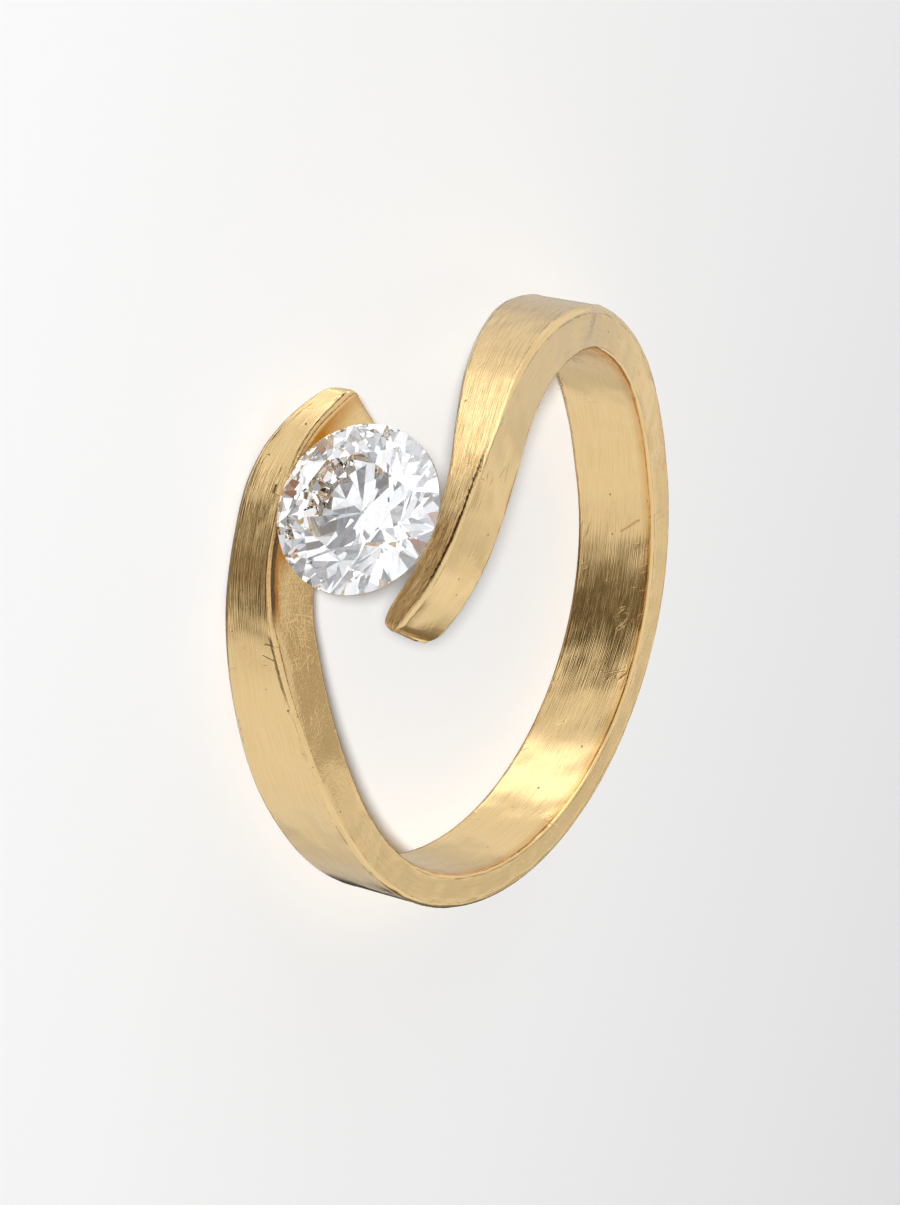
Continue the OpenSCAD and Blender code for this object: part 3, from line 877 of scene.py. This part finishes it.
# Diamond, polished: clear, with an index of 2.42 that throws nearly all light back up.
diamond, clear = empty_material("diamond_polished")
spot = add(clear, "ShaderNodeTexCoord")["Object"]
water = add(clear, "ShaderNodeTexNoise", {"Vector": spot, "Scale": 0.9 / MM, "Detail": 2.0})[0]
body_colour = add(clear, "ShaderNodeMix", {
    "Factor": water, "A": linear("#FBFCFF"), "B": linear("#FFFFFF")}, data_type="RGBA")[2]
diamond_index = 2.417
polish = add(clear, "ShaderNodeBsdfPrincipled", {
    "Base Color": body_colour, "Roughness": 0.0, "IOR": diamond_index, "Transmission Weight": 1.0})[0]
add(clear, "ShaderNodeOutputMaterial", {"Surface": polish})

# Diamond, bruted: the girdle is ground round and left frosted. Its tan colour is a painted reflection of
# the gold around it.
frosted, ground = empty_material("diamond_bruted_girdle")
spot = add(ground, "ShaderNodeTexCoord")["Object"]
grit = add(ground, "ShaderNodeTexNoise", {"Vector": spot, "Scale": 30 / MM, "Detail": 2.0})[0]
grit_rough = add(ground, "ShaderNodeMapRange", {"Value": grit, "To Min": 0.35, "To Max": 0.6})[0]
# The tan base colour paints in the reflection of the gold seat.
frost = add(ground, "ShaderNodeBsdfPrincipled", {
    "Base Color": linear("#D8BE9C"), "Roughness": grit_rough, "IOR": diamond_index,
    "Transmission Weight": 1.0})[0]
add(ground, "ShaderNodeOutputMaterial", {"Surface": frost})

stone = solid_of("brilliant_stone", wedge, cutting, {
    "Wedges": 8, "Girdle Radius": stone_r, "Girdle Sides": girdle_sides, "Facets": diamond,
    "Girdle": frosted})
face_outwards(stone)
stone.data.transform(stone_place)
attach(stone, "root")
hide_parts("stone")


# Studio
# A pale matt floor in a soft light tent, which the gold mirrors below the floor's level too. The
# key lamp stands at one side, and the fill lamp, behind the camera, lights the floor alone.
floor_r = 3.0
floor_gap = 0.03 * MM
floor_form = bmesh.new()
bmesh.ops.create_circle(floor_form, cap_ends=True, segments=96, radius=floor_r)
floor_mesh = bpy.data.meshes.new("floor")
floor_form.to_mesh(floor_mesh)
floor_form.free()
floor = in_scene("floor", floor_mesh)
floor.location.z = -floor_gap
floor.visible_glossy = False
paper = bpy.data.materials.new("white_paper_floor")
paper.use_nodes = True
paper.node_tree.nodes["Principled BSDF"].inputs["Base Color"].default_value = linear("#F4F4F4")
paper.node_tree.nodes["Principled BSDF"].inputs["Roughness"].default_value = 0.9
floor_mesh.materials.append(paper)

world = bpy.data.worlds.new("light tent")
bpy.context.scene.world = world
world.use_nodes = True
sky = world.node_tree
sky.nodes.clear()
direction = add(sky, "ShaderNodeTexCoord")["Generated"]
axes = add(sky, "ShaderNodeSeparateXYZ", {"Vector": direction})
azimuth_here = add(sky, "ShaderNodeMath", {0: axes["Y"], 1: axes["X"]}, operation="ARCTAN2")[0]
elevation_here = add(sky, "ShaderNodeMath", {0: axes["Z"]}, operation="ARCSINE")[0]

# Oval patches of the tent that are brighter or darker than the rest, in degrees. The slant is
# how far a patch leans back in azimuth for each degree that it rises.
#   azimuth, elevation, half width, half height, slant, change of strength
PATCHES = [
    (-154, -24, 13, 55, 0.3, 0.95),
    (-112, -32, 20, 30, 0.3, -0.04),
    (-71, -31, 28, 38, 1.2, -0.69),
    (-96, -48, 22, 13, 0, 0.38),
    (-80, 6, 70, 9, 0, -0.5),
    (63, -4, 22, 18, 0, -0.6),
    (94, -31, 17, 26, 0, -0.8),
    (61, -31, 24, 22, 0, -0.18),
    (126, -31, 26, 24, 0, -0.2),
    (124, 46, 20, 18, 0, -0.36),
    (93, 29, 8, 11, 0, -0.22),
    (112, 2, 12, 17, 0, -0.13),
    (0, -90, 900, 30, 0, -0.5),
]
tent_strength = 0.82
patch_core = 0.72
tent = tent_strength
for azimuth, elevation, half_width, half_height, slant, change in PATCHES:
    turn_away = add(sky, "ShaderNodeMath", {
        0: azimuth_here, 1: math.radians(azimuth)}, operation="SUBTRACT")[0]
    nearest_turn = add(sky, "ShaderNodeMath", {
        0: turn_away, 1: math.pi, 2: -math.pi}, operation="WRAP")[0]
    rise_away = add(sky, "ShaderNodeMath", {
        0: elevation_here, 1: math.radians(elevation)}, operation="SUBTRACT")[0]
    slanted = add(sky, "ShaderNodeMath", {
        0: rise_away, 1: slant, 2: nearest_turn}, operation="MULTIPLY_ADD")[0]
    across = add(sky, "ShaderNodeMath", {
        0: slanted, 1: math.radians(half_width)}, operation="DIVIDE")[0]
    upward = add(sky, "ShaderNodeMath", {
        0: rise_away, 1: math.radians(half_height)}, operation="DIVIDE")[0]
    away = add(sky, "ShaderNodeCombineXYZ", {"X": across, "Y": upward})[0]
    distance_away = add(sky, "ShaderNodeVectorMath", {0: away}, operation="LENGTH")["Value"]
    patch = add(sky, "ShaderNodeMapRange", {
        "Value": distance_away, "From Min": patch_core, "From Max": 2 - patch_core,
        "To Min": change, "To Max": 0.0}, interpolation_type="SMOOTHSTEP")[0]
    tent = add(sky, "ShaderNodeMath", {0: tent, 1: patch}, operation="ADD")[0]

# The folds of its cloth. Where the tent is dim its light is warmer.
fold_contrast = 0.4
dim_light = (1.0, 0.78, 0.45, 1)
full_light = (1, 1, 1, 1)
cloth = add(sky, "ShaderNodeTexNoise", {"Vector": direction, "Scale": 5.0, "Detail": 1.0})[0]
cloth_folds = add(sky, "ShaderNodeMath", {0: cloth, 1: 0.5}, operation="SUBTRACT")[0]
tent = add(sky, "ShaderNodeMath", {
    0: cloth_folds, 1: fold_contrast, 2: tent}, operation="MULTIPLY_ADD")[0]
whiteness = add(sky, "ShaderNodeMapRange", {"Value": tent, "From Min": 0.0, "From Max": 0.65})[0]
tent_colour = add(sky, "ShaderNodeMix", {
    "Factor": whiteness, "A": dim_light, "B": full_light}, data_type="RGBA")[2]
warm_tent = add(sky, "ShaderNodeVectorMath", {0: tent_colour, "Scale": tent}, operation="SCALE")[0]

# The stone gathers light from small bright panels and gaps, which give its facets their play.
between_panels = (0.26, 0.27, 0.29, 1)
on_panels = (1.22, 1.23, 1.25, 1)
panels = add(sky, "ShaderNodeTexNoise", {"Vector": direction, "Scale": 6.0, "Detail": 3.0})[0]
panel_share = add(sky, "ShaderNodeMapRange", {
    "Value": panels, "From Min": 0.44, "From Max": 0.62}, interpolation_type="SMOOTHSTEP")[0]
panel_light = add(sky, "ShaderNodeMix", {
    "Factor": panel_share, "A": between_panels, "B": on_panels}, data_type="RGBA")[2]

# The floor and the view past it get a low even light.
floor_light = (0.1, 0.1, 0.1, 1)
ray = add(sky, "ShaderNodeLightPath")
in_stone = add(sky, "ShaderNodeMath", {0: ray["Transmission Depth"], 1: 0.5}, operation="GREATER_THAN")[0]
even = add(sky, "ShaderNodeMath", {
    0: ray["Is Camera Ray"], 1: ray["Is Diffuse Ray"]}, operation="MAXIMUM")[0]
on_metal = add(sky, "ShaderNodeMix", {
    "Factor": even, "A": warm_tent, "B": floor_light}, data_type="RGBA")[2]
colour = add(sky, "ShaderNodeMix", {
    "Factor": in_stone, "A": on_metal, "B": panel_light}, data_type="RGBA")[2]
surround = add(sky, "ShaderNodeBackground", {"Color": colour, "Strength": 1.0})[0]
add(sky, "ShaderNodeOutputWorld", {"Surface": surround})


def softbox(name, azimuth, elevation, distance, size, power):
    """A round soft lamp that faces the ring, with its place in degrees and metres."""
    away = towards(math.radians(azimuth), math.radians(elevation))
    lamp = bpy.data.lights.new(name, "AREA")
    lamp.shape = "DISK"
    lamp.size = size
    lamp.energy = power
    thing = in_scene(name, lamp)
    thing.location = away * distance
    thing.rotation_mode = "QUATERNION"
    thing.rotation_quaternion = away.to_track_quat("Z", "Y")
    return thing


softbox("key_lamp", -153, 28, 0.4, 0.22, 0.14)
fill_lamp = softbox("fill_lamp", -80, 33.4, 0.6, 0.05, 5.2)
fill_lamp.visible_glossy = False
fill_lamp.visible_transmission = False

# Light is followed through the many mirrors inside the stone.
bpy.context.scene.cycles.max_bounces = 32
bpy.context.scene.cycles.glossy_bounces = 24
bpy.context.scene.cycles.transmission_bounces = 24
bpy.context.scene.view_settings.view_transform = "Standard"
